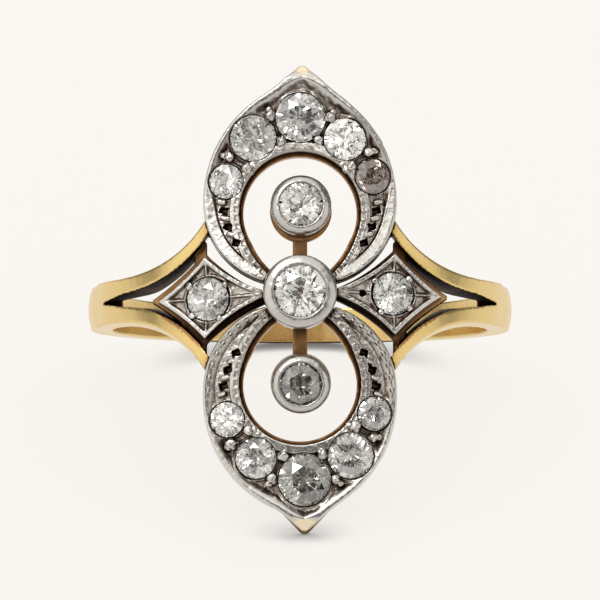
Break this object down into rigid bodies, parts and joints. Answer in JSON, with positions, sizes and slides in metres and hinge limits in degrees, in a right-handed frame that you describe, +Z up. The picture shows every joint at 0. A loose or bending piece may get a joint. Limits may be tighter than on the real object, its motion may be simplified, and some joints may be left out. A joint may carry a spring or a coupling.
{
  "type": "diamond ring",
  "caption": "Finger ring with a long pierced head set with old-cut diamonds in white metal on gold, and forked shoulders.",
  "frame": {"origin": "on the surface it lies on, below the middle of the ring's box", "axes": "+Z up; +X to the right across the head; -Y towards the head, which leans back; the finger hole's axis leans towards +Y"},
  "size_m": [0.0192, 0.0222, 0.0185],
  "materials": {
    "gold": "satin yellow gold, darker in its recesses",
    "platinum": "polished rims over a bright-cut, slightly worn ground",
    "diamond": "polished old-cut facets"
  },
  "bodies": {
    "root": {"shank_and_gallery": "gold", "upper_crescent": "platinum", "lower_crescent": "platinum", "left_lozenge": "platinum", "right_lozenge": "platinum", "centre_collet": "platinum", "upper_collet": "platinum", "lower_collet": "platinum", "upper_diamond_1": "diamond", "upper_diamond_2": "diamond", "upper_diamond_3": "diamond", "upper_diamond_4": "diamond", "upper_diamond_5": "diamond", "lower_diamond_1": "diamond", "lower_diamond_2": "diamond", "lower_diamond_3": "diamond", "lower_diamond_4": "diamond", "lower_diamond_5": "diamond", "left_diamond": "diamond", "right_diamond": "diamond", "centre_diamond": "diamond", "upper_collet_diamond": "diamond", "lower_collet_diamond": "diamond"}
  },
  "joints": []
}
